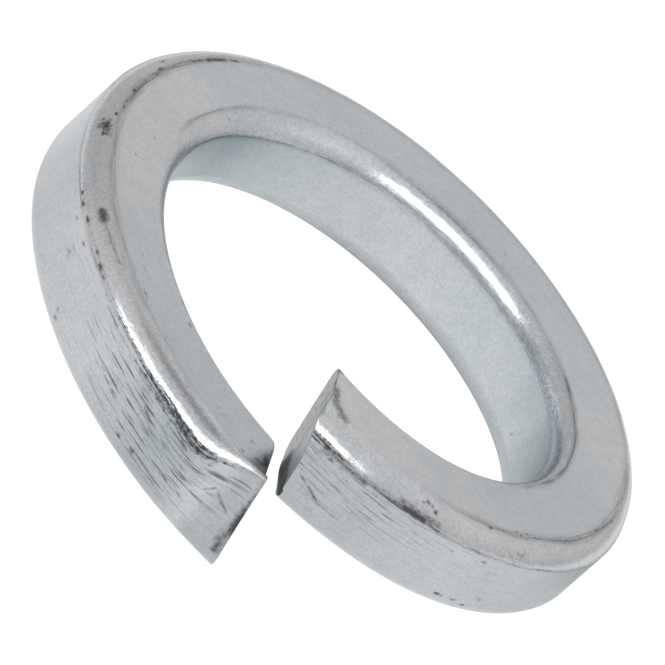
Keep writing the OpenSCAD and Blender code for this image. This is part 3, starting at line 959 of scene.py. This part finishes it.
def rust_and_shade_cover(n, f, ragged):
    """How far brown covers the plating: dirt in specks along the creases, spots and dust, and painted crease
    shade in the soft lines.
    """
    specks = n.range(n.plus(f.speck, n.times(f.speckled, 0.62)), 0.80, 1.10)
    patchy = n.range(f.grain, 0.3, 0.6, 1.0, 1.7)
    spots = n.times(small_marks(n, "spot", ragged), patchy, clamp=True)
    rust_and_shade = n.times(specks, SPECK_RUST)
    rust_and_shade = n.greatest(rust_and_shade, n.times(spots, SPOT_RUST), clamp=True)
    rust_and_shade = n.greatest(rust_and_shade, n.times(n.range(f.speck, 0.70, 0.80), DUST_RUST))
    # painted crease shade along the creases, in brown
    soft = n.times(f.soft_line, n.range(f.streak, 0.35, 0.65, 0.35, 0.9))
    return n.greatest(rust_and_shade, soft, clamp=True)


def roughness(n, f, dirt_and_shade):
    rough = n.plus(n.range(f.cloud, *CORE, *ROUGHNESS), n.range(f.fine_streak, *CORE, *STREAK_ROUGHNESS))
    for where, more in ((dirt_and_shade, DIRT_ROUGHNESS), (f.on_cut, CUT_ROUGHNESS), (f.dull, TIP_ROUGHNESS)):
        rough = n.plus(rough, n.times(where, more))
    return rough


def relief(n, f):
    """The normal that the mottles, the fine streaks and the grain leave."""
    mottles = n.times(f.mottle, MOTTLE_RELIEF)
    height = n.plus(mottles, n.times(f.fine_streak, STREAK_RELIEF))
    grain_share = n.range(f.rounded, 0.0, 1.0, *GRAIN_RELIEF, smooth=False)
    height = n.plus(height, n.times(f.grain, grain_share))
    bump = n.add("ShaderNodeBump")
    bump.inputs["Strength"].default_value = BUMP_STRENGTH
    bump.inputs["Distance"].default_value = BUMP_DEPTH
    n.link(height, bump.inputs["Height"])
    return bump.outputs[0]


def zinc_material():
    """Satin zinc plating: fine grain, cloudy tint, drawing marks along the wire, dark specks at the edges,
    and painted shade, sheen and dark reflection.
    """
    mat, n, surface = new_material("zinc_plating")
    shader = n.add("ShaderNodeBsdfPrincipled")
    n.link(shader.outputs[0], surface)

    f = fields(n)
    ragged = n.range(f.speck, *CORE, 1.25, 0.55)
    soot_and_shade, rust_and_shade = soot_and_shade_cover(n, f, ragged), rust_and_shade_cover(n, f, ragged)
    colour = n.mix(f.on_cut, plating_colour(n, f), cut_colour(n, f), "MULTIPLY")
    # dirt, with painted crease shade and painted dark reflection, over the plating
    colour = n.mix(rust_and_shade, n.mix(soot_and_shade, colour, SOOT_AND_SHADE), RUST_AND_SHADE)
    n.link(colour, shader.inputs["Base Color"])
    shader.inputs["Metallic"].default_value = 1.0
    n.link(roughness(n, f, n.greatest(soot_and_shade, rust_and_shade)), shader.inputs["Roughness"])
    n.link(relief(n, f), shader.inputs["Normal"])
    return mat


# Studio
# The floor's lit part keeps the shadow, and its plain part brings it to white for the camera
FLOOR_LIT, FLOOR_WHITE = 0.20, 0.90
# Its plain glow in reflections, with shade painted into it: in the open, inside the ring, and in the painted
# shade beneath the wire
FLOOR_MIRRORED, FLOOR_WITHIN, FLOOR_BENEATH = 0.77, 0.86, 0.76
# How much of that is left in the shadow painted behind the washer, on the side away from the lamp
FLOOR_SHADOWED, SHADOW_AZIMUTH = 0.48, 75
# Distances from the axis, in metres, over which these change, and over which the painted shadow starts and
# ends
WITHIN_RIM, BENEATH_RIM = (0.0055, 0.0100), (0.0145, 0.0200)
SHADOW_START, SHADOW_END = (0.005, 0.016), (0.027, 0.042)
FLOOR_HALF, FLOOR_HEIGHT = 6.0, -0.00002


def floor_material():
    """Pale floor: a lit surface that keeps the shadow, plain white for the camera, and for reflections a glow
    with shade painted beneath the washer and a shadow painted behind it.
    """
    mat, n, surface = new_material("pale_floor")
    lit = n.add("ShaderNodeBsdfDiffuse")
    lit.inputs[0].default_value = (FLOOR_LIT, FLOOR_LIT, FLOOR_LIT, 1.0)
    glow = n.add("ShaderNodeEmission")
    path = n.add("ShaderNodeLightPath")
    seen = n.times(path.outputs["Is Camera Ray"], FLOOR_WHITE)
    mirrored = n.greatest(path.outputs["Is Glossy Ray"], path.outputs["Is Transmission Ray"])
    flat = n.add("ShaderNodeVectorMath", operation="MULTIPLY")
    n.link(n.add("ShaderNodeNewGeometry").outputs["Position"], flat.inputs[0])
    flat.inputs[1].default_value = (1.0, 1.0, 0.0)
    from_axis = n.measure("LENGTH", flat.outputs[0])
    outside = n.range(from_axis, *BENEATH_RIM, FLOOR_BENEATH, FLOOR_MIRRORED)
    inside = n.range(from_axis, *WITHIN_RIM, FLOOR_WITHIN, FLOOR_BENEATH)
    behind = n.measure("DOT_PRODUCT", flat.outputs[0], direction(SHADOW_AZIMUTH, 0))
    painted_shadow = n.range(behind, *SHADOW_START, 0.0, 1.0 - FLOOR_SHADOWED)
    painted_shadow = n.times(painted_shadow, n.range(from_axis, *SHADOW_END, 1.0, 0.0))
    painted_shadow = n.math("SUBTRACT", 1.0, painted_shadow)
    mirror_level = n.times(n.greatest(outside, inside), painted_shadow)
    n.link(n.plus(seen, n.times(mirrored, mirror_level)), glow.inputs["Strength"])
    both = n.add("ShaderNodeAddShader")
    n.link(lit.outputs[0], both.inputs[0])
    n.link(glow.outputs[0], both.inputs[1])
    n.link(both.outputs[0], surface)
    return mat


def make_floor():
    mesh = bpy.data.meshes.new("floor")
    signs = ((-1, -1), (1, -1), (1, 1), (-1, 1))
    mesh.from_pydata([(FLOOR_HALF * x, FLOOR_HALF * y, FLOOR_HEIGHT) for x, y in signs], [], [(0, 1, 2, 3)])
    mesh.materials.append(floor_material())
    add_object("floor", mesh)


# The room's brightness low down and high up, and the heights of the direction between which it changes
WORLD_LOW, WORLD_HIGH, WORLD_RISE = 0.72, 0.84, (0.3, 0.95)
# Darker parts of the room: azimuth, elevation, outer and inner angle, and how dark
OVERHEAD, OVERHEAD_DARK = (158, 85, 21, 5), 0.56
ASIDE, ASIDE_DARK = (132, 42, 40, 16), 0.22
# A dark gap just above the horizon, deeper in front of the washer than behind it
FRONT, GAP_FRONT, GAP_BEHIND, GAP_TOP = (-108, 5, 78, 55), 0.72, 0.30, (0.11, 0.17)
ROOM_TINT, DARKER_TINT = (1.0, 1.0, 1.0), (1.04, 1.0, 0.97)


def make_world():
    """Soft room light: bright near the horizon and greyer overhead. The camera sees plain white."""
    world = bpy.data.worlds.new("soft_room")
    bpy.context.scene.world = world
    world.use_nodes = True
    n = Nodes(world.node_tree)
    out = n.add("ShaderNodeOutputWorld")
    place = n.add("ShaderNodeTexCoord").outputs["Generated"]
    height = n.split(place)[2]
    level = n.range(height, *WORLD_RISE, WORLD_LOW, WORLD_HIGH)

    def toward(azimuth, elevation, wide, narrow):
        """1 within the narrow angle of a direction, and 0 beyond the wide one."""
        near = n.measure("DOT_PRODUCT", place, direction(azimuth, elevation))
        return n.range(near, math.cos(math.radians(wide)), math.cos(math.radians(narrow)))

    darker = n.greatest(n.times(toward(*OVERHEAD), OVERHEAD_DARK), n.times(toward(*ASIDE), ASIDE_DARK))
    in_front = n.range(toward(*FRONT), 0.0, 1.0, GAP_BEHIND, GAP_FRONT)
    gap = n.times(in_front, n.range(height, *GAP_TOP, 1.0, 0.0))
    level = n.times(level, n.math("SUBTRACT", 1.0, darker))
    level = n.times(level, n.math("SUBTRACT", 1.0, gap))
    room = n.add("ShaderNodeBackground")
    tint = n.mix(darker, ROOM_TINT, DARKER_TINT)
    n.link(n.mix(1.0, tint, n.vector(level, level, level), "MULTIPLY"), room.inputs[0])
    plain = n.add("ShaderNodeBackground")
    plain.inputs[0].default_value = (1, 1, 1, 1)
    path = n.add("ShaderNodeLightPath")
    mix = n.add("ShaderNodeMixShader")
    n.link(path.outputs["Is Camera Ray"], mix.inputs[0])
    n.link(room.outputs[0], mix.inputs[1])
    n.link(plain.outputs[0], mix.inputs[2])
    n.link(mix.outputs[0], out.inputs[0])


def direction(azimuth, elevation):
    a, e = math.radians(azimuth), math.radians(elevation)
    return Vector((math.cos(a) * math.cos(e), math.sin(a) * math.cos(e), math.sin(e)))


def make_light(name, azimuth, elevation, distance, width, height, level, roll):
    """A soft box that faces the washer. level is its brightness, where 1 is white."""
    data = bpy.data.lights.new(name, "AREA")
    data.shape = "RECTANGLE"
    data.size, data.size_y = width, height
    data.energy = level * math.pi * width * height
    obj = add_object(name, data)
    toward = direction(azimuth, elevation)
    obj.location = toward * distance
    turn = (-toward).to_track_quat("-Z", "Y").to_matrix().to_4x4()
    obj.matrix_world = Matrix.Translation(obj.location) @ turn @ Matrix.Rotation(math.radians(roll), 4, "Z")
    obj.visible_camera = False


# The camera's place: turn about the washer's axis, elevation, roll, and distance in outer radii
CAMERA_TURN = -11.06
CAMERA_ELEVATION = 28.06
CAMERA_ROLL = 48.16
CAMERA_DISTANCE = 50.0
# Pixels in an outer radius, the picture's middle in outer radii, and the height that it looks at in mm
CAMERA_SCALE = 339.72
CAMERA_X, CAMERA_Y = 0.0135, 0.0153
CAMERA_HEIGHT = 4.75
PICTURE, SENSOR = 665.0, 36.0


def make_camera():
    """The photograph's view, from in front of the cut and above, with the camera rolled."""
    turned = math.radians(CAMERA_TURN)
    e, roll = math.radians(CAMERA_ELEVATION), math.radians(CAMERA_ROLL)
    spin = Matrix.Rotation(turned, 3, "Z")
    right = spin @ Vector((1, 0, 0))
    up = spin @ Vector((0, math.sin(e), math.cos(e)))
    back = spin @ Vector((0, -math.cos(e), math.sin(e)))
    x_axis = right * math.cos(roll) + up * math.sin(roll)
    y_axis = up * math.cos(roll) - right * math.sin(roll)
    step = back * CAMERA_DISTANCE - x_axis * CAMERA_X + y_axis * CAMERA_Y
    place = Vector((0, 0, CAMERA_HEIGHT * MM)) + step * OUTER_R * MM
    data = bpy.data.cameras.new("camera")
    data.sensor_width = SENSOR
    data.lens = CAMERA_SCALE * CAMERA_DISTANCE * SENSOR / PICTURE
    data.clip_start, data.clip_end = 0.01, 20.0
    camera = add_object("camera", data)
    axes = Matrix((x_axis, y_axis, back)).transposed().to_4x4()
    camera.matrix_world = Matrix.Translation(place) @ axes
    bpy.context.scene.camera = camera


make_camera()
make_floor()
make_world()
make_light("strip_light", azimuth=-111.5, elevation=26, distance=1.5, width=2.6, height=0.5, level=3.5,
           roll=10)

washer, where = build_washer()
add_masks(washer, where)
add_mark_frames(washer, where, "spot", spot_rows())
add_mark_frames(washer, where, "scratch", scratch_rows())
washer.data.materials.append(zinc_material())
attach(washer, "root")
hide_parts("washer")

bpy.context.scene.view_settings.view_transform = "Standard"
